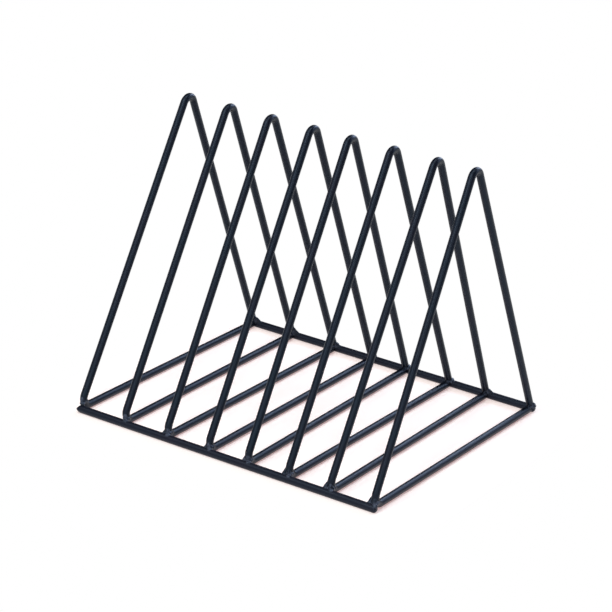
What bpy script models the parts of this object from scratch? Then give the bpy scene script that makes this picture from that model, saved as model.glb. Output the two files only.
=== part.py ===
"""Desktop book rack: eight bent wire triangles welded to two round rails.

Metres, +Z up. The origin is on the table, under the middle of the rack. The rails run along X, and -Y is the
front. Run it with: blender --background --python part.py
"""

from math import atan, atan2, cos, pi, radians, sin, tan

import bmesh
import bpy
from mathutils import Matrix, Vector

# Bars
WIRE_DIAMETER = 0.0049  # every divider is bent from this wire
RAIL_DIAMETER = 0.0051
RAIL_OVERHANG = 0.0013  # past the centre of the foot that sits farthest out
FRONT_RAIL_SHIFT = -0.0003  # how far along X each rail sits from the middle of the rack
BACK_RAIL_SHIFT = 0.001
RAIL_END_ROUND = 0.0018  # sheared end, softened by the coating

# Divider: a triangle of wire, measured on its centre line to the corners where its straight stretches meet.
# It is bent at the front foot and the apex. At the back foot its two ends meet on the rail.
FOOT_SPACING = 0.2  # front corner to back corner
APEX_HEIGHT = 0.195  # floor run to apex corner
APEX_BEND_RADIUS = 0.0057

# Row of dividers
DIVIDER_COUNT = 8
DIVIDER_PITCH = 0.031
# Welded by hand in a loose jig: each corner's distance from its even place, in shares of the pitch
FRONT_FOOT_SHARES = (-0.10, 0.00, 0.07, 0.10, 0.05, 0.02, 0.00, 0.02)
BACK_FOOT_SHARES = (-0.08, -0.03, 0.09, 0.08, -0.04, 0.06, -0.02, 0.07)
APEX_SHARES = (0.01, 0.04, 0.07, 0.09, 0.00, -0.01, 0.01, -0.13)

# Weld beads: a flare round the foot of a leg that spreads over the top of the rail
WELD_CLEARANCE = 0.0003  # between a bead, the wire and the rail
BEAD_RISE = 0.0069  # up the leg, above the top of the rail
BEAD_SINK = 0.0008  # below the top of the rail
BEAD_SPREAD = 0.0034  # of a full bead's foot along the rail, beyond the wire
FRONT_BEAD_LEAN = 0.0026  # how far a full bead's foot is drawn to one side of the leg
BACK_BEAD_LEAN = 0.0035
BEAD_OUTSET = 0.001  # how far every bead's foot is drawn out over the rail
BEAD_TIP_SHARE = 0.39  # radius at the tip, as a share of the foot's
FRONT_BEAD_DEPTH_SHARE = 0.46  # thickness across the rail, as a share of a full bead's width
BACK_BEAD_DEPTH_SHARE = 0.5
BEAD_HOLLOW = 1.3  # power of the flare: 1 is a straight cone, more is hollower
# Width of each bead as a share of a full one, with a minus where it is drawn towards -X
FRONT_BEAD_SHARES = (0.5, 0.5, -0.45, -0.45, -0.52, -0.62, -0.72, -0.84)
BACK_BEAD_SHARES = (0.84, 0.87, 0.75, 0.6, 0.55, 0.58, 0.72, 0.5)

# Coating
WIRE_COLOUR = (0.018, 0.021, 0.028)
RAIL_COLOUR = (0.017, 0.020, 0.027)
WELD_COLOUR = (0.019, 0.022, 0.028)
WIRE_ROUGHNESS = 0.42
RAIL_ROUGHNESS = 0.45
WELD_ROUGHNESS = 0.5

# Facets
WIRE_SIDES = 12
RAIL_SIDES = 16
BEND_STEPS = 8
BEAD_STEPS = 5
BEAD_SIDES = 14
END_STEPS = 3
SMOOTH_ANGLE = radians(50)
SEAM_DISTANCE = WELD_CLEARANCE / 10  # points closer than this are one point

# What follows from the sizes above
WIRE_RADIUS = WIRE_DIAMETER / 2
RAIL_RADIUS = RAIL_DIAMETER / 2
HALF_SPACING = FOOT_SPACING / 2
LEG_ANGLE = atan2(APEX_HEIGHT, HALF_SPACING)  # between a leg and the floor run
ROW_LENGTH = (DIVIDER_COUNT - 1) * DIVIDER_PITCH
FARTHEST_FOOT = max(abs(share) for share in FRONT_FOOT_SHARES + BACK_FOOT_SHARES) * DIVIDER_PITCH
RAIL_LENGTH = ROW_LENGTH + 2 * (FARTHEST_FOOT + RAIL_OVERHANG)
# Both rails run through the foot corners. The front foot is bent just far enough to go round its rail.
FOOT_BEND_RADIUS = (RAIL_RADIUS + WELD_CLEARANCE + WIRE_RADIUS) / (1 / sin(LEG_ANGLE / 2) - 1)
BAR_HEIGHT = max(RAIL_RADIUS, WIRE_RADIUS)  # of the rails' and floor runs' centre lines above the table
# A bead, measured up the leg from the rail's axis
BEAD_TOP = RAIL_RADIUS + BEAD_RISE
BEAD_BASE = RAIL_RADIUS - BEAD_SINK
BEAD_FOOT_RADIUS = WIRE_RADIUS + BEAD_SPREAD


def clear_scene():
    for thing in list(bpy.data.objects):
        bpy.data.objects.remove(thing, do_unlink=True)


def collection(name):
    made = bpy.data.collections.new(name)
    bpy.context.scene.collection.children.link(made)
    return made


def coated_steel(name, colour, roughness):
    """Black powder coat over steel wire."""
    made = bpy.data.materials.new(name)
    made.use_nodes = True
    shader = made.node_tree.nodes["Principled BSDF"]
    shader.inputs["Base Color"].default_value = (*colour, 1)
    shader.inputs["Roughness"].default_value = roughness
    shader.inputs["Metallic"].default_value = 0
    return made


def rounded_corner(corner, before, after, radius):
    """Points of the bend at a corner, from the run out of before to the run into after."""
    to_before = (before - corner).normalized()
    to_after = (after - corner).normalized()
    half_angle = to_before.angle(to_after) / 2
    centre = corner + (to_before + to_after).normalized() * (radius / sin(half_angle))
    start = corner + to_before * (radius / tan(half_angle)) - centre
    sweep = pi - 2 * half_angle
    axis = to_after.cross(to_before)
    return [
        centre + Matrix.Rotation(sweep * step / BEND_STEPS, 3, axis) @ start
        for step in range(BEND_STEPS + 1)
    ]


def divider_line():
    """Centre line of a divider in its own frame: along the floor run, up in front and down at the back."""
    front = Vector((0, -HALF_SPACING, 0))
    back = Vector((0, HALF_SPACING, 0))
    apex = Vector((0, 0, APEX_HEIGHT))
    return [
        back,
        *rounded_corner(front, back, apex, FOOT_BEND_RADIUS),
        *rounded_corner(apex, front, back, APEX_BEND_RADIUS),
        back,
    ]


def rail_line(shift, side, overrun=0):
    """Both ends of a rail: side is -1 at the front and 1 at the back."""
    reach = RAIL_LENGTH / 2 + overrun
    return [Vector((shift + end * reach, side * HALF_SPACING, BAR_HEIGHT)) for end in (-1, 1)]


def bar_mesh(name, points, radius, sides, home):
    """A closed mesh bar along points. Its flats lie at the bar's real radius, and one faces straight down."""
    curve = bpy.data.curves.new(name, "CURVE")
    curve.dimensions = "3D"
    curve.fill_mode = "FULL"
    curve.use_fill_caps = True
    curve.bevel_depth = radius / cos(pi / sides)
    curve.bevel_resolution = sides // 2 - 2
    line = curve.splines.new("POLY")
    line.points.add(len(points) - 1)
    for point, place in zip(line.points, points):
        point.co = (*place, 1)
        point.tilt = pi / sides
    bar = bpy.data.objects.new(name, curve)
    home.objects.link(bar)
    bpy.context.view_layer.update()
    mesh = bpy.data.meshes.new_from_object(bar.evaluated_get(bpy.context.evaluated_depsgraph_get()))
    mesh.name = name
    work = bmesh.new()
    work.from_mesh(mesh)
    bmesh.ops.remove_doubles(work, verts=work.verts, dist=SEAM_DISTANCE)
    bmesh.ops.transform(work, matrix=bar.matrix_world, verts=work.verts)
    work.to_mesh(mesh)
    work.free()
    bpy.data.objects.remove(bar)
    bpy.data.curves.remove(curve)
    return mesh


def add_part(name, mesh, material, home, place=None):
    """A smooth-shaded part, which follows the empty called place where it has one."""
    part = bpy.data.objects.new(name, mesh)
    home.objects.link(part)
    part.parent = place
    mesh.materials.clear()
    mesh.materials.append(material)
    mesh.shade_smooth()
    mesh.set_sharp_from_angle(angle=SMOOTH_ANGLE)
    return part


def add_sleeve(name, mesh, home, place=None):
    """A cutter that keeps other parts clear of the bar inside it."""
    sleeve = bpy.data.objects.new(name, mesh)
    home.objects.link(sleeve)
    sleeve.parent = place
    sleeve.hide_render = True
    sleeve.display_type = "WIRE"
    return sleeve


def cut_clear(part, sleeve):
    cut = part.modifiers.new("clear_of_" + sleeve.name, "BOOLEAN")
    cut.operation = "DIFFERENCE"
    cut.solver = "EXACT"
    cut.use_self = True  # a divider's two ends run into each other
    cut.object = sleeve


def add_rail(name, shift, side, material, parts, cutters):
    """A rail with softened ends. Gives back the sleeve round it, which runs on past them."""
    rail_mesh = bar_mesh(name, rail_line(shift, side), RAIL_RADIUS, RAIL_SIDES, parts)
    rail = add_part(name, rail_mesh, material, parts)
    soften = rail.modifiers.new("softened_ends", "BEVEL")
    soften.width = RAIL_END_ROUND
    soften.segments = END_STEPS
    soften.limit_method = "ANGLE"
    soften.angle_limit = SMOOTH_ANGLE
    sleeve_line = rail_line(shift, side, overrun=WIRE_DIAMETER)
    sleeve_mesh = bar_mesh(name + "_sleeve", sleeve_line, RAIL_RADIUS + WELD_CLEARANCE, RAIL_SIDES, cutters)
    return add_sleeve(name + "_sleeve", sleeve_mesh, cutters)


def divider_place(index, parts):
    """An empty at the middle of a divider's floor run, turned so that its corners meet their places."""
    even = index * DIVIDER_PITCH - ROW_LENGTH / 2
    given = index % len(APEX_SHARES)
    front = even + FRONT_FOOT_SHARES[given] * DIVIDER_PITCH
    back = even + BACK_FOOT_SHARES[given] * DIVIDER_PITCH
    apex = even + APEX_SHARES[given] * DIVIDER_PITCH
    middle = (front + back) / 2
    place = bpy.data.objects.new(f"divider_{index + 1}_place", None)
    place.location = (middle, 0, BAR_HEIGHT)
    place.rotation_euler = (0, atan((apex - middle) / APEX_HEIGHT), -atan((back - front) / FOOT_SPACING))
    parts.objects.link(place)
    return place


def bead_mesh(name, side, share, lean, depth_share):
    """A hollow flare round Z, as wide as its share, with its foot drawn aside and out over the rail."""
    profile = [(0, BEAD_TOP)]
    for step in range(BEAD_STEPS + 1):
        down = step / BEAD_STEPS
        radius = BEAD_FOOT_RADIUS * (BEAD_TIP_SHARE + (1 - BEAD_TIP_SHARE) * down**BEAD_HOLLOW)
        profile.append((radius, BEAD_TOP + (BEAD_BASE - BEAD_TOP) * down))
    profile.append((0, BEAD_BASE))
    work = bmesh.new()
    verts = [work.verts.new((radius, 0, height)) for radius, height in profile]
    edges = [work.edges.new(pair) for pair in zip(verts, verts[1:])]
    bmesh.ops.spin(
        work,
        geom=verts + edges,
        cent=(0, 0, 0),
        axis=(0, 0, 1),
        angle=2 * pi,
        steps=BEAD_SIDES,
        use_merge=True,
    )
    bmesh.ops.remove_doubles(work, verts=work.verts, dist=SEAM_DISTANCE)
    bmesh.ops.recalc_face_normals(work, faces=work.faces)
    for vert in work.verts:
        drawn = 1 - vert.co.z / BEAD_TOP
        vert.co.x = vert.co.x * abs(share) + lean * share * drawn
        vert.co.y = vert.co.y * depth_share + BEAD_OUTSET * side * drawn
    mesh = bpy.data.meshes.new(name)
    work.to_mesh(mesh)
    work.free()
    return mesh


def add_bead(name, side, mesh, place, sleeves, material, parts):
    """A bead at the front (side -1) or back (side 1) foot, trimmed to clear the wire and the rail."""
    bead = add_part(name, mesh, material, parts, place)
    foot = Matrix.Translation((0, side * HALF_SPACING, 0))
    bead.matrix_local = foot @ Matrix.Rotation(side * (pi / 2 - LEG_ANGLE), 4, "X")
    for sleeve in sleeves:
        cut_clear(bead, sleeve)


def build():
    clear_scene()
    parts = collection("desktop_book_rack")
    cutters = collection("trimming_sleeves")
    wire_coat = coated_steel("wire_black_coat", WIRE_COLOUR, WIRE_ROUGHNESS)
    rail_coat = coated_steel("rail_black_coat", RAIL_COLOUR, RAIL_ROUGHNESS)
    weld_coat = coated_steel("weld_black_coat", WELD_COLOUR, WELD_ROUGHNESS)

    front_sleeve = add_rail("front_rail", FRONT_RAIL_SHIFT, -1, rail_coat, parts, cutters)
    back_sleeve = add_rail("back_rail", BACK_RAIL_SHIFT, 1, rail_coat, parts, cutters)

    line = divider_line()
    wire_mesh = bar_mesh("divider", line, WIRE_RADIUS, WIRE_SIDES, parts)
    sleeve_mesh = bar_mesh("divider_sleeve", line, WIRE_RADIUS + WELD_CLEARANCE, WIRE_SIDES, cutters)

    for index in range(DIVIDER_COUNT):
        number = index + 1
        place = divider_place(index, parts)
        divider = add_part(f"divider_{number}", wire_mesh, wire_coat, parts, place)
        cut_clear(divider, back_sleeve)
        sleeve = add_sleeve(f"divider_{number}_sleeve", sleeve_mesh, cutters, place)
        given = index % len(FRONT_BEAD_SHARES)

        name = f"front_weld_{number}"
        mesh = bead_mesh(name, -1, FRONT_BEAD_SHARES[given], FRONT_BEAD_LEAN, FRONT_BEAD_DEPTH_SHARE)
        add_bead(name, -1, mesh, place, (front_sleeve, sleeve), weld_coat, parts)

        name = f"back_weld_{number}"
        mesh = bead_mesh(name, 1, BACK_BEAD_SHARES[given], BACK_BEAD_LEAN, BACK_BEAD_DEPTH_SHARE)
        add_bead(name, 1, mesh, place, (back_sleeve, sleeve), weld_coat, parts)


build()
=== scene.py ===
from math import atan2, cos, pi, radians, sin, tan

import bmesh
import bpy
from mathutils import Matrix, Vector, noise


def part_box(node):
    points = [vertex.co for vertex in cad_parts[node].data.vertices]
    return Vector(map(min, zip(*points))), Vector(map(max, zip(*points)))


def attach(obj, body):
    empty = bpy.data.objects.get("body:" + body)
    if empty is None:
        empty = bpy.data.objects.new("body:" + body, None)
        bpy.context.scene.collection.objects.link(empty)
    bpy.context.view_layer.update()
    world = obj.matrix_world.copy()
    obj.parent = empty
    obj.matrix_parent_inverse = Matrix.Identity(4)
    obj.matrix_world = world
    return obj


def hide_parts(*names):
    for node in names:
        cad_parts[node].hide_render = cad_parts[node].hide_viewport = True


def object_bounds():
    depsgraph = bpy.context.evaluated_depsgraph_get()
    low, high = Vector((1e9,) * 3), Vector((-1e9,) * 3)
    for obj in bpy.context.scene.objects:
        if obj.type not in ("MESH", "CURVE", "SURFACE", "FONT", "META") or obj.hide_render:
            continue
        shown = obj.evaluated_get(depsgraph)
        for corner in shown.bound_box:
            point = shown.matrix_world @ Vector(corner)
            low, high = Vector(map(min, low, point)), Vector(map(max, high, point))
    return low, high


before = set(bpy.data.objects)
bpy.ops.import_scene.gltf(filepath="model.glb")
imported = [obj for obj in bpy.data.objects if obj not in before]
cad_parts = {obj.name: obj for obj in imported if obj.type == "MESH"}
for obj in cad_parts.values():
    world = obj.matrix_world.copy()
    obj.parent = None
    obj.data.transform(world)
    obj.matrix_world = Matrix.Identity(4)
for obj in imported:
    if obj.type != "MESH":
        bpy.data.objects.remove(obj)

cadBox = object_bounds()
mm = 0.001
axisX, axisY = Vector((1, 0, 0)), Vector((0, 1, 0))


# One socket of a node tree. Sums, differences and products of these add Math nodes.
class Signal:
    def __init__(self, tree, socket=None):
        self.tree = tree
        self.socket = socket

    def feed(self, target, value):
        if isinstance(value, Signal):
            self.tree.links.new(value.socket, target)
        else:
            target.default_value = value

    def node(self, kind, settings=None, output=0, **sockets):
        made = self.tree.nodes.new(kind)
        for name, value in (settings or {}).items():
            setattr(made, name, value)
        for name, value in sockets.items():
            wanted = {name, name.replace("_", " ")}
            target = next(s for s in made.inputs if s.enabled and wanted & {s.name, s.identifier})
            self.feed(target, value)
        return Signal(self.tree, made.outputs[output] if made.outputs else None)

    def math(self, operation, *values):
        made = self.tree.nodes.new("ShaderNodeMath")
        made.operation = operation
        for target, value in zip(made.inputs, values):
            self.feed(target, value)
        return Signal(self.tree, made.outputs[0])

    def __add__(self, other):
        return self.math("ADD", self, other)

    def __radd__(self, other):
        return self.math("ADD", other, self)

    def __sub__(self, other):
        return self.math("SUBTRACT", self, other)

    def __rsub__(self, other):
        return self.math("SUBTRACT", other, self)

    def __mul__(self, other):
        return self.math("MULTIPLY", self, other)

    def __rmul__(self, other):
        return self.math("MULTIPLY", other, self)


def freshTree(owner):
    owner.use_nodes = True
    owner.node_tree.nodes.clear()
    return Signal(owner.node_tree)


# Powder coat
wireCoat = {
    "colour": (0.0046, 0.0078, 0.0145),
    "otherColour": (0.0074, 0.0076, 0.0145),
    "cloud": 14 * mm,  # how far apart the slow changes of colour are
    "cloudEdges": (0.35, 0.65),  # the noise at which a change of colour begins and is full
    "shine": 0.27,
    "shineTint": (0.56, 0.76, 1.0),
    "roughness": 0.36,
    "roughnessSpread": 0.05,
    "peel": 0.9 * mm,  # how far apart the dimples of the orange peel are
    "peelDepth": 0.005 * mm,
    "specksPerDimple": 5,
}
railCoat = {
    **wireCoat,
    "colour": (0.0082, 0.0096, 0.0168),
    "otherColour": (0.0106, 0.0096, 0.0170),
    "roughness": 0.38,
}
weldCoat = {
    **wireCoat,
    "shine": 0.36,
    "roughness": 0.42,
    "peelDepth": 0.016 * mm,
    "cloud": 2.4 * mm,
    # Painted highlight: a paler colour in blotches on the lumps, where light would fall on the weld
    # metal
    "paintedLightColour": (0.052, 0.060, 0.088),  # on the lumps, in blotches
}


def powderCoat(name, coat):
    material = bpy.data.materials.new(name)
    tree = freshTree(material)
    place = tree.node("ShaderNodeTexCoord", output="Object")

    def grain(size, detail=2.0, roughness=0.5):
        return tree.node(
            "ShaderNodeTexNoise", Vector=place, Scale=1 / size, Detail=detail, Roughness=roughness
        )

    def blend(share, first, second):
        return tree.node(
            "ShaderNodeMix", {"data_type": "RGBA"}, 2, Factor=share, A=first, B=(*second, 1)
        )

    begins, full = coat["cloudEdges"]
    cloud = grain(coat["cloud"])
    cloud = tree.node("ShaderNodeMapRange", From_Min=begins, From_Max=full, Value=cloud)
    colour = blend(cloud, (*coat["colour"], 1), coat["otherColour"])
    # Painted light: paler blotches on the welds' lumps stand in for the light and highlights that
    # fall on them
    if "paintedLightColour" in coat:
        paintedLight = tree.node("ShaderNodeAttribute", {"attribute_name": "paintedLight"}, "Fac")
        colour = blend(paintedLight * cloud, colour, coat["paintedLightColour"])
    speck = grain(coat["peel"] / coat["specksPerDimple"], detail=1.0)
    roughness = coat["roughness"] + (speck - 0.5) * coat["roughnessSpread"] * 2
    peel = grain(coat["peel"], detail=3.0, roughness=0.55)
    bump = tree.node("ShaderNodeBump", Strength=1.0, Distance=coat["peelDepth"], Height=peel)
    shader = tree.node(
        "ShaderNodeBsdfPrincipled",
        Base_Color=colour,
        Roughness=roughness,
        IOR=1.5,
        Specular_IOR_Level=coat["shine"],
        Specular_Tint=(*coat["shineTint"], 1),
        Normal=bump,
    )
    tree.node("ShaderNodeOutputMaterial", Surface=shader)
    return material


print("materials")
coats = {
    "wire_coat": powderCoat("satin coat on the wires", wireCoat),
    "rail_coat": powderCoat("satin coat on the rails", railCoat),
    "weld_coat": powderCoat("satin coat on the welds", weldCoat),
}


def newObject(name, data):
    made = bpy.data.objects.new(name, data)
    bpy.context.scene.collection.objects.link(made)
    return made


# A finished piece, which rides on the rack's one body and stands for a CAD node
def addPiece(work, name, slot, node):
    sameSpot = 0.002 * mm
    bmesh.ops.remove_doubles(work, verts=work.verts, dist=sameSpot)
    bmesh.ops.recalc_face_normals(work, faces=work.faces)
    mesh = bpy.data.meshes.new(name)
    work.to_mesh(mesh)
    work.free()
    mesh.materials.append(coats[slot])
    mesh.shade_smooth()
    piece = newObject(name, mesh)
    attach(piece, "root")
    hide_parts(node)


def edgesOf(geometry):
    return [part for part in geometry if isinstance(part, bmesh.types.BMEdge)]


def vertsOf(geometry):
    return [part for part in geometry if isinstance(part, bmesh.types.BMVert)]


def startRing(work, radius, sides, place):
    made = bmesh.ops.create_circle(work, segments=sides, radius=radius, matrix=place)
    return list(dict.fromkeys(edge for vert in made["verts"] for edge in vert.link_edges))


def cap(work, ring):
    bmesh.ops.edgeloop_fill(work, edges=ring)


# Carries a ring of edges along a straight way, in steps of about the given length
def drawOut(work, ring, way, stretch):
    steps = max(1, round(way.length / stretch))
    for _ in range(steps):
        made = bmesh.ops.extrude_edge_only(work, edges=ring)["geom"]
        bmesh.ops.translate(work, vec=way / steps, verts=vertsOf(made))
        ring = edgesOf(made)
    return ring


# Carries a ring of edges round a bend, which turns about the X axis as all bends of a divider do
def bendRound(work, ring, centre, turn, steps):
    verts = list(dict.fromkeys(vert for edge in ring for vert in edge.verts))
    made = bmesh.ops.spin(
        work, geom=verts + ring, cent=centre, axis=axisX, angle=turn, steps=steps, use_merge=False
    )
    return edgesOf(made["geom_last"])


# Dividers. Each wire starts on the back rail, runs forward along the table, turns up at the front
# foot, turns down at the apex and ends on the back rail again.
divider = {
    "count": 8,
    "radius": 2.45 * mm,
    "footSpacing": 200 * mm,
    "apexHeight": 195 * mm,
    "footBend": 5.77 * mm,
    "apexBend": 5.7 * mm,
    "runHeight": 2.55 * mm,
    "sides": 32,
    "bendSteps": 20,
    "stretch": 6 * mm,
}
numbers = range(1, divider["count"] + 1)
halfSpacing = divider["footSpacing"] / 2
legAngle = atan2(divider["apexHeight"], halfSpacing)
apexAngle = pi - 2 * legAngle
footTangent = divider["footBend"] / tan(legAngle / 2)
apexTangent = divider["apexBend"] / tan(apexAngle / 2)
legLength = Vector((halfSpacing, divider["apexHeight"])).length
legUp = Vector((0, cos(legAngle), sin(legAngle)))  # from the front foot towards the apex
legDown = Vector((0, cos(legAngle), -sin(legAngle)))  # from the apex towards the back foot


# Where a CAD divider stands: X across it, Y along its floor run, the origin in the run's middle
def dividerFrame(number):
    points = [vert.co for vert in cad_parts[f"divider_{number}"].data.vertices]
    near = 6 * mm

    def middleOf(found):
        return (min(point.x for point in found) + max(point.x for point in found)) / 2

    feet = [point for point in points if point.z < near]
    front = middleOf([point for point in feet if point.y < near - halfSpacing])
    back = middleOf([point for point in feet if point.y > halfSpacing - near])
    apex = middleOf([point for point in points if point.z > divider["apexHeight"] - near])
    middle = (front + back) / 2
    turned = Matrix.Rotation(-atan2(back - front, divider["footSpacing"]), 4, "Z")
    tilted = Matrix.Rotation(atan2(apex - middle, divider["apexHeight"]), 4, "Y")
    return Matrix.Translation((middle, 0, divider["runHeight"])) @ turned @ tilted


def bentWire(work, radius, sides, steps, stretch):
    straightLeg = legLength - footTangent - apexTangent
    footCentre = Vector((0, footTangent - halfSpacing, divider["footBend"]))
    apexCentre = Vector((0, 0, divider["apexHeight"] - divider["apexBend"] / sin(apexAngle / 2)))
    start = Matrix.Translation((0, halfSpacing, 0)) @ Matrix.Rotation(pi / 2, 4, "X")
    ring = startRing(work, radius, sides, start)
    cap(work, ring)
    ring = drawOut(work, ring, axisY * (footTangent - 2 * halfSpacing), stretch)
    ring = bendRound(work, ring, footCentre, legAngle - pi, steps)
    ring = drawOut(work, ring, legUp * straightLeg, stretch)
    ring = bendRound(work, ring, apexCentre, apexAngle - pi, steps)
    cap(work, drawOut(work, ring, legDown * (legLength - apexTangent), stretch))


print("dividers")
dividerFrames = {}
for number in numbers:
    dividerFrames[number] = dividerFrame(number)
    work = bmesh.new()
    bentWire(work, divider["radius"], divider["sides"], divider["bendSteps"], divider["stretch"])
    bmesh.ops.transform(work, matrix=dividerFrames[number], verts=work.verts)
    addPiece(work, f"divider_wire_{number}", "wire_coat", f"divider_{number}")


# Rails
rail = {
    "radius": 2.55 * mm,
    "sides": 40,
    "stretch": 8 * mm,
    "endRound": 2.0 * mm,
    "endSteps": 7,
    "pinched": "front_rail",  # its left end was cut off with pliers, which leaves a wedge
    "wedgeEdge": Vector((0.5, 0, 0.6)) * mm,  # from the middle of the end
    "topSlant": 2.0 * mm,  # how much shorter the wedge is along its top than at its edge
    "bottomSlant": 2.2 * mm,
    "wedgeRound": 0.5 * mm,
    "wedgeSteps": 3,
    "sharpAngle": 0.6,  # edges of the wedge that turn by more than this are softened
}


def roundEdges(work, edges, offset, steps):
    bmesh.ops.bevel(
        work,
        geom=edges,
        offset=offset,
        offset_type="OFFSET",
        segments=steps,
        profile=0.5,
        affect="EDGES",
        material=-1,
        clamp_overlap=True,
    )


# Cuts a rail's left end to a wedge and softens its edges
def pinchEnd(work, end):
    for way, slant in ((1, rail["topSlant"]), (-1, rail["bottomSlant"])):
        cut = bmesh.ops.bisect_plane(
            work,
            geom=work.verts[:] + work.edges[:] + work.faces[:],
            plane_co=end + rail["wedgeEdge"],
            plane_no=Vector((-rail["radius"], 0, way * slant)).normalized(),
            clear_outer=True,
        )
        cap(work, edgesOf(cut["geom_cut"]))
    near = end.x + rail["stretch"] / 2
    sharp = [edge for edge in work.edges if edge.calc_face_angle(0) > rail["sharpAngle"]]
    sharp = [edge for edge in sharp if max(vert.co.x for vert in edge.verts) < near]
    roundEdges(work, sharp, rail["wedgeRound"], rail["wedgeSteps"])


def roundRail(node):
    low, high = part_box(node)
    work = bmesh.new()
    start = Matrix.Translation((low.x, (low.y + high.y) / 2, rail["radius"]))
    facing = start @ Matrix.Rotation(pi / 2, 4, "Y")
    firstRing = startRing(work, rail["radius"], rail["sides"], facing)
    lastRing = drawOut(work, firstRing, axisX * (high.x - low.x), rail["stretch"])
    cap(work, firstRing)
    cap(work, lastRing)
    roundEdges(work, lastRing, rail["endRound"], rail["endSteps"])
    if node == rail["pinched"]:
        pinchEnd(work, start.translation)
    else:
        roundEdges(work, firstRing, rail["endRound"], rail["endSteps"])
    addPiece(work, node + "_rod", "rail_coat", node)


print("rails")
for node in ("front_rail", "back_rail"):
    roundRail(node)


# Welds. Each one is seen from its foot corner: X along the rail, Y inward, Z up. A web stands in the
# notch beside the leg, and lumps of weld metal lie round the foot.
weld = {
    # Side of the leg, how far past the wire a web reaches, how far above the rail it climbs, in mm
    "webs": {
        "front": (
            (1, 0.6, 2.2), (1, 0.6, 2.2), (-1, 0.2, 2.8), (-1, 0.0, 2.8),
            (-1, 0.6, 4.0), (-1, 1.3, 6.2), (-1, 1.7, 7.2), (-1, 1.7, 6.4),
        ),
        "back": (
            (1, 4.8, 6.2), (1, 3.8, 7.6), (1, 3.8, 4.4), (1, 0.8, 1.6),
            (1, 0.4, 1.2), (1, 2.0, 1.8), (1, 4.0, 4.8), (1, 2.2, 4.4),
        ),
    },
    "webThickness": 0.8 * mm,
    "webInLeg": 0.6,  # share of the wire's radius at which a web starts
    "webShoulder": 0.92,  # share of its height to which its inner side climbs
    "webSunk": 0.8,  # share of the rail's radius at which its foot stands
    "webFoot": 0.4 * mm,  # how far inward its foot stands under the leg's outer side
    "webHeel": 2.2 * mm,  # and under the leg's inner side
    # Centre and half-lengths, in mm
    "lumps": {
        "front": (
            ((0.9, 1.5, 3.8), (1.6, 1.5, 2.2)),
            ((1.7, 2.1, 2.6), (1.6, 1.9, 1.7)),
            ((2.2, 3.8, 2.1), (1.0, 2.0, 1.7)),
            ((2.2, -0.1, 2.0), (1.8, 1.6, 1.4)),
        ),
        "back": (
            ((0.1, -1.3, 2.2), (2.8, 1.6, 1.4)),
            ((2.3, 1.0, 2.1), (1.8, 2.0, 1.6)),
            ((1.0, 3.8, 1.7), (1.4, 3.4, 1.4)),
        ),
    },
    "sideLump": ((-1.5, 1.7, 2.2), (1.2, 1.5, 1.3)),  # only where the web is on the left
    "lumpSides": 20,
    "lumpRings": 12,
    # Beads whose lumps sit elsewhere than on the other feet, and how far off, in mm
    "moved": {"front_bead_1": (-0.6, 0.6, 1.9)},
    # Where a bead carries painted light, paler where light would fall on its lumps: middle and
    # reach, in mm
    "paintedLightPatches": {
        "front": (((1.8, 1.0, 3.0), 4.8),),
        "back": (((2.2, 0.6, 2.6), 2.8), ((1.2, 3.6, 2.6), 3.2)),
    },
    "bareEnd": 0.7 * mm,  # what a bead leaves free at a rail's end
    "rootShare": 0.94,  # of the wire and the rail inside the weld, so that it grows out of them
    "rootReach": 3.0 * mm,
    "rootSides": 20,
    "rootBendSteps": 12,
    "rootStretch": 1 * mm,
    "voxel": 0.24 * mm,
    "smoothing": 5,
    "lumpiness": 0.24 * mm,
    "lumpSize": 1.3 * mm,
    "seedSteps": (7.3, 3.1),  # how far apart in the noise the feet and the two sides are
}


# A closed rod, a little thinner than the wire or rail that it lies in, from the middle of one end
def rod(work, radius, place, way):
    ring = startRing(work, radius * weld["rootShare"], weld["rootSides"], place)
    cap(work, ring)
    cap(work, drawOut(work, ring, way, weld["rootStretch"]))


# The wire inside a weld, from the leg to the floor run. Only the front foot is bent.
def wireRoot(work, bent):
    radius = divider["radius"]
    legReach = footTangent + weld["rootReach"]
    legTop = Matrix.Translation(legUp * legReach) @ Matrix.Rotation(legAngle + pi / 2, 4, "X")
    if not bent:
        rod(work, radius, legTop, -legUp * legReach)
        rod(work, radius, Matrix.Rotation(pi / 2, 4, "X"), axisY * legReach)
        return
    ring = startRing(work, radius * weld["rootShare"], weld["rootSides"], legTop)
    cap(work, ring)
    ring = drawOut(work, ring, -legUp * weld["rootReach"], weld["rootStretch"])
    centre = Vector((0, footTangent, divider["footBend"]))
    ring = bendRound(work, ring, centre, pi - legAngle, weld["rootBendSteps"])
    cap(work, drawOut(work, ring, axisY * weld["rootReach"], weld["rootStretch"]))


# The rail inside a weld. It stays short of the rail's rounded or pinched end.
def railRoot(work, end, corner, reach):
    railLow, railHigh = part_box(end + "_rail")
    railReach = divider["radius"] + weld["rootReach"] + reach * mm
    bareLeft = weld["bareEnd"]
    if rail["pinched"].startswith(end):
        bareLeft = rail["topSlant"] + rail["wedgeEdge"].x
    left = max(-railReach, railLow.x + bareLeft - corner.x)
    right = min(railReach, railHigh.x - weld["bareEnd"] - corner.x)
    place = Matrix.Translation((left, 0, 0)) @ Matrix.Rotation(pi / 2, 4, "Y")
    rod(work, rail["radius"], place, axisX * (right - left))


# A web from the side of the leg down to the top of the rail
def web(work, side, reach, climb):
    inLeg = side * divider["radius"] * weld["webInLeg"]
    foot = side * (divider["radius"] + reach * mm)
    top = rail["radius"] + climb * mm
    shoulder = top * weld["webShoulder"]
    bottom = rail["radius"] * weld["webSunk"]
    lean = top / tan(legAngle)
    thick = weld["webThickness"]
    near = weld["webFoot"]
    corners = (
        (inLeg, lean + thick, top), (inLeg, lean - thick, shoulder),
        (foot, near + thick, bottom), (foot, near - thick, bottom),
        (inLeg, weld["webHeel"] + thick, bottom), (inLeg, near - thick, bottom),
    )
    bmesh.ops.convex_hull(work, input=[work.verts.new(corner) for corner in corners])


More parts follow.
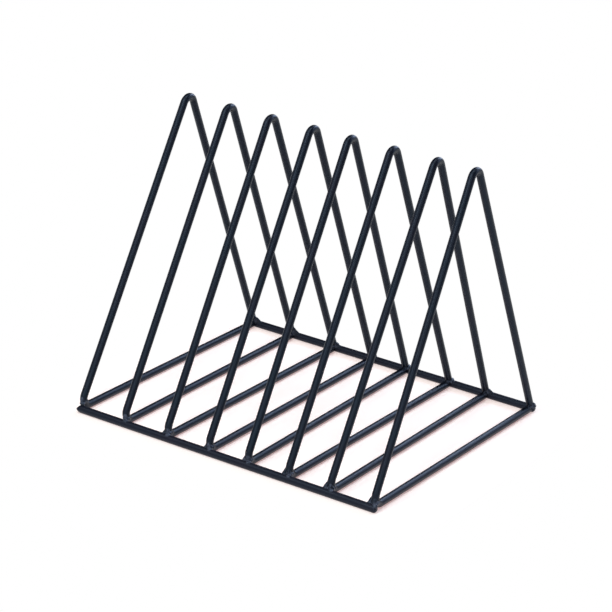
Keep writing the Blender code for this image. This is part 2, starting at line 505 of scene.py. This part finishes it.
def lump(work, place, halves):
    ball = bmesh.ops.create_uvsphere(
        work, u_segments=weld["lumpSides"], v_segments=weld["lumpRings"], radius=1
    )
    sized = Matrix.Diagonal((*(Vector(halves) * mm), 1))
    placed = Matrix.Translation(Vector(place) * mm) @ sized
    bmesh.ops.transform(work, matrix=placed, verts=ball["verts"])


# How much painted light a point gets: 1 in the inner half of a patch, running out to 0 at its edge
def paintedLightAt(point, paintedLightPatches):
    nearness = [2 - 2 * (point / mm - Vector(place)).length / reach for place, reach in paintedLightPatches]
    return min(1, max([0, *nearness]))


# One closed skin round all the shapes in a bmesh
def joined(work, voxel):
    mesh = bpy.data.meshes.new("shapes")
    work.to_mesh(mesh)
    shapes = newObject("shapes", mesh)
    remesh = shapes.modifiers.new("skin", "REMESH")
    remesh.mode = "VOXEL"
    remesh.voxel_size = voxel
    bpy.context.view_layer.update()
    skin = shapes.evaluated_get(bpy.context.evaluated_depsgraph_get())
    work.clear()
    work.from_mesh(skin.to_mesh())
    skin.to_mesh_clear()
    bpy.data.objects.remove(shapes)
    bpy.data.meshes.remove(mesh)


# Softens a skin, then makes it uneven
def weather(work, seed):
    for _ in range(weld["smoothing"]):
        bmesh.ops.smooth_vert(
            work, verts=work.verts, factor=0.5, use_axis_x=True, use_axis_y=True, use_axis_z=True
        )
    work.normal_update()
    for vert in work.verts:
        swell = noise.noise(vert.co / weld["lumpSize"] + seed)
        vert.co += vert.normal * swell * weld["lumpiness"]


def weldBead(number, end):
    side, reach, climb = weld["webs"][end][number - 1]
    inward = {"front": 1, "back": -1}[end]
    corner = dividerFrames[number] @ Matrix.Translation((0, -inward * halfSpacing, 0))
    name = f"{end}_bead_{number}"
    moved = Vector(weld["moved"].get(name, (0, 0, 0)))
    work = bmesh.new()
    wireRoot(work, bent=end == "front")
    railRoot(work, end, corner.translation, reach)
    web(work, side, reach, climb)
    for place, halves in weld["lumps"][end]:
        lump(work, Vector(place) + moved, halves)
    if side < 0:
        lump(work, *weld["sideLump"])
    bmesh.ops.recalc_face_normals(work, faces=work.faces)
    joined(work, weld["voxel"])
    alongSeed, acrossSeed = weld["seedSteps"]
    weather(work, Vector((number * alongSeed, inward * acrossSeed, 0)))
    # Where the lumps get painted light, stored on the skin for the weld coat
    paintedLight = work.verts.layers.float.new("paintedLight")
    for vert in work.verts:
        vert[paintedLight] = paintedLightAt(vert.co - moved * mm, weld["paintedLightPatches"][end])
    bmesh.ops.transform(work, matrix=corner @ Matrix.Diagonal((1, inward, 1, 1)), verts=work.verts)
    for vert in work.verts:
        vert.co = [min(max(value, low), high) for value, low, high in zip(vert.co, *cadBox)]
    addPiece(work, name, "weld_coat", f"{end}_weld_{number}")


print("welds")
for number in numbers:
    weldBead(number, "front")
    weldBead(number, "back")


# Floor. It shows the rack's shadow near the rack and runs out to plain white.
floor = {
    "reach": 12,  # metres, half the width of the sheet
    "lit": (0.81, 0.85, 0.80),
    "glow": (0.42, 0.27, 0.26),  # a little light of its own, so that shadows come out faintly pink
    "paint": (0.75, 0.75, 0.75),  # what lights the rack from below
    "shadowEnd": 8 * mm,  # how far past the rack's ends the plain white begins
    "whiteFull": 36 * mm,  # and how far past them there is nothing else
    "nearerRails": 21 * mm,  # how much sooner both come in front of and behind the rails
}

print("floor and studio")
work = bmesh.new()
bmesh.ops.create_grid(work, x_segments=1, y_segments=1, size=floor["reach"])
floorMesh = bpy.data.meshes.new("studio_floor")
work.to_mesh(floorMesh)
work.free()
floorSheet = newObject("studio_floor", floorMesh)

floorPaint = bpy.data.materials.new("white floor")
tree = freshTree(floorPaint)
place = tree.node("ShaderNodeTexCoord", output="Object")
across = tree.node("ShaderNodeSeparateXYZ", output="X", Vector=place)
along = tree.node("ShaderNodeSeparateXYZ", output="Y", Vector=place)
pastEnd = across.math("ABSOLUTE", across) - cadBox[1].x
pastRail = along.math("ABSOLUTE", along) - (cadBox[1].y - floor["nearerRails"])
away = pastEnd.math("MAXIMUM", pastEnd, pastRail)
far = tree.node(
    "ShaderNodeMapRange",
    {"interpolation_type": "SMOOTHSTEP"},
    Value=away,
    From_Min=floor["shadowEnd"],
    From_Max=floor["whiteFull"],
)
glow = tree.node("ShaderNodeEmission", Color=(*floor["glow"], 1), Strength=1.0)
lit = tree.node("ShaderNodeBsdfDiffuse", Color=(*floor["lit"], 1))
shaded = tree.node("ShaderNodeAddShader", Shader=glow, Shader_001=lit)
clear = tree.node("ShaderNodeEmission", Color=(1, 1, 1, 1), Strength=1.0)
white = tree.node("ShaderNodeMixShader", Fac=far, Shader=shaded, Shader_001=clear)
plain = tree.node("ShaderNodeBsdfDiffuse", Color=(*floor["paint"], 1))
seen = tree.node("ShaderNodeLightPath", output="Is Camera Ray")
for ray in ("Is Glossy Ray", "Is Transmission Ray"):
    seen = seen + tree.node("ShaderNodeLightPath", output=ray)
mixed = tree.node("ShaderNodeMixShader", Fac=seen, Shader=plain, Shader_001=white)
tree.node("ShaderNodeOutputMaterial", Surface=mixed)
floorMesh.materials.append(floorPaint)

# Studio: softboxes all round the rack, as in a light tent
studio = {
    "room": (0.0, 0.0, 0.0),
    "centre": (0, 0, 0.07),
    "distance": 1.3,
    "white": (1.0, 1.0, 1.0),
    "cool": (0.88, 1.02, 1.33),
    "boxWidth": 0.6,
    # Degrees round from the front, degrees up, how much light it gives, its colour
    "boxes": {
        "front": (0, 18, 0.60, "white"),
        "front_high": (0, 50, 1.40, "white"),
        "front_left": (-45, 18, 0.14, "white"),
        "front_left_high": (-45, 50, 0.40, "white"),
        "front_right": (45, 18, 0.46, "white"),
        "left": (-90, 18, 0.12, "white"),
        "back": (180, 24, 0.90, "cool"),
        "back_high": (180, 40, 0.38, "cool"),
        "back_side": (152, 34, 0.40, "cool"),
        "back_right": (135, 18, 0.24, "cool"),
        "overhead": (0, 90, 0.85, "white"),
    },
}

world = bpy.data.worlds.new("studio")
bpy.context.scene.world = world
tree = freshTree(world)
room = tree.node("ShaderNodeBackground", Color=(*studio["room"], 1), Strength=1.0)
tree.node("ShaderNodeOutputWorld", Surface=room)

for name, (around, up, light, colour) in studio["boxes"].items():
    lamp = bpy.data.lights.new(name + "_softbox", "AREA")
    lamp.shape = "SQUARE"
    lamp.size = studio["boxWidth"]
    lamp.color = studio[colour]
    lamp.energy = light * pi * studio["distance"] ** 2
    holder = newObject(name + "_softbox", lamp)
    turned = Matrix.Rotation(radians(around), 4, "Z") @ Matrix.Rotation(radians(90 - up), 4, "X")
    away = Matrix.Translation((0, 0, studio["distance"]))
    holder.matrix_world = Matrix.Translation(studio["centre"]) @ turned @ away
    holder.visible_camera = False

# Camera
cameraPlace = {
    "location": (0.77484, -1.2872, 0.66015),
    "right": (0.8381, 0.5412, 0.0685),
    "up": (-0.2513, 0.2715, 0.9291),
    "lens": 147.6,
    "sensorWidth": 36,
}
lens = bpy.data.cameras.new("camera")
lens.lens = cameraPlace["lens"]
lens.sensor_width = cameraPlace["sensorWidth"]
camera = newObject("camera", lens)
right = Vector(cameraPlace["right"]).normalized()
forward = Vector(cameraPlace["up"]).cross(right).normalized()
upright = right.cross(forward)
turned = Matrix((right, upright, -forward)).transposed().to_4x4()
camera.matrix_world = Matrix.Translation(cameraPlace["location"]) @ turned
bpy.context.scene.camera = camera

bpy.context.scene.view_settings.view_transform = "Standard"
